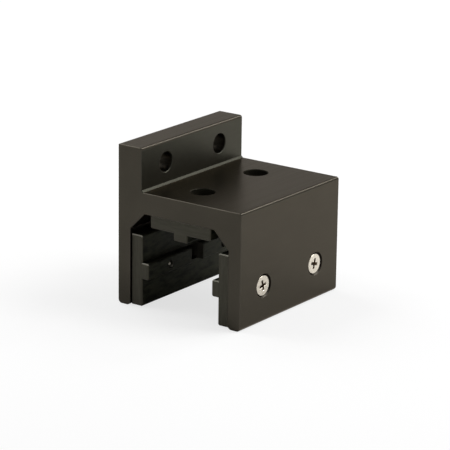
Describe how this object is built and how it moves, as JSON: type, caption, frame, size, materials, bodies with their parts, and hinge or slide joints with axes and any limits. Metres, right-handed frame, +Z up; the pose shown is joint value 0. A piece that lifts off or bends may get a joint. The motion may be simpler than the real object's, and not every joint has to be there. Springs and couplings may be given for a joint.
{
  "type": "flanged linear bearing",
  "caption": "Extruded aluminium linear bearing block that straddles a square T-slot profile on ribbed plastic pads, with an upright drilled flange for bolting a load to it.",
  "frame": {"origin": "below the middle of the part, on the plane that the two legs stand on", "axes": "+X across the profile away from the flange, +Y along the slide, +Z up from the open side to the web"},
  "size_m": [0.062, 0.0698, 0.068],
  "materials": {
    "housing": "satin dark bronze anodised",
    "pads": "smooth waxy black",
    "screws": "bright plated"
  },
  "bodies": {
    "root": {"housing": "housing", "left_pad": "pads", "right_pad": "pads", "top_pad": "pads", "left_pad_screws": "screws", "right_pad_screws": "screws", "top_pad_screws": "screws"}
  },
  "joints": []
}
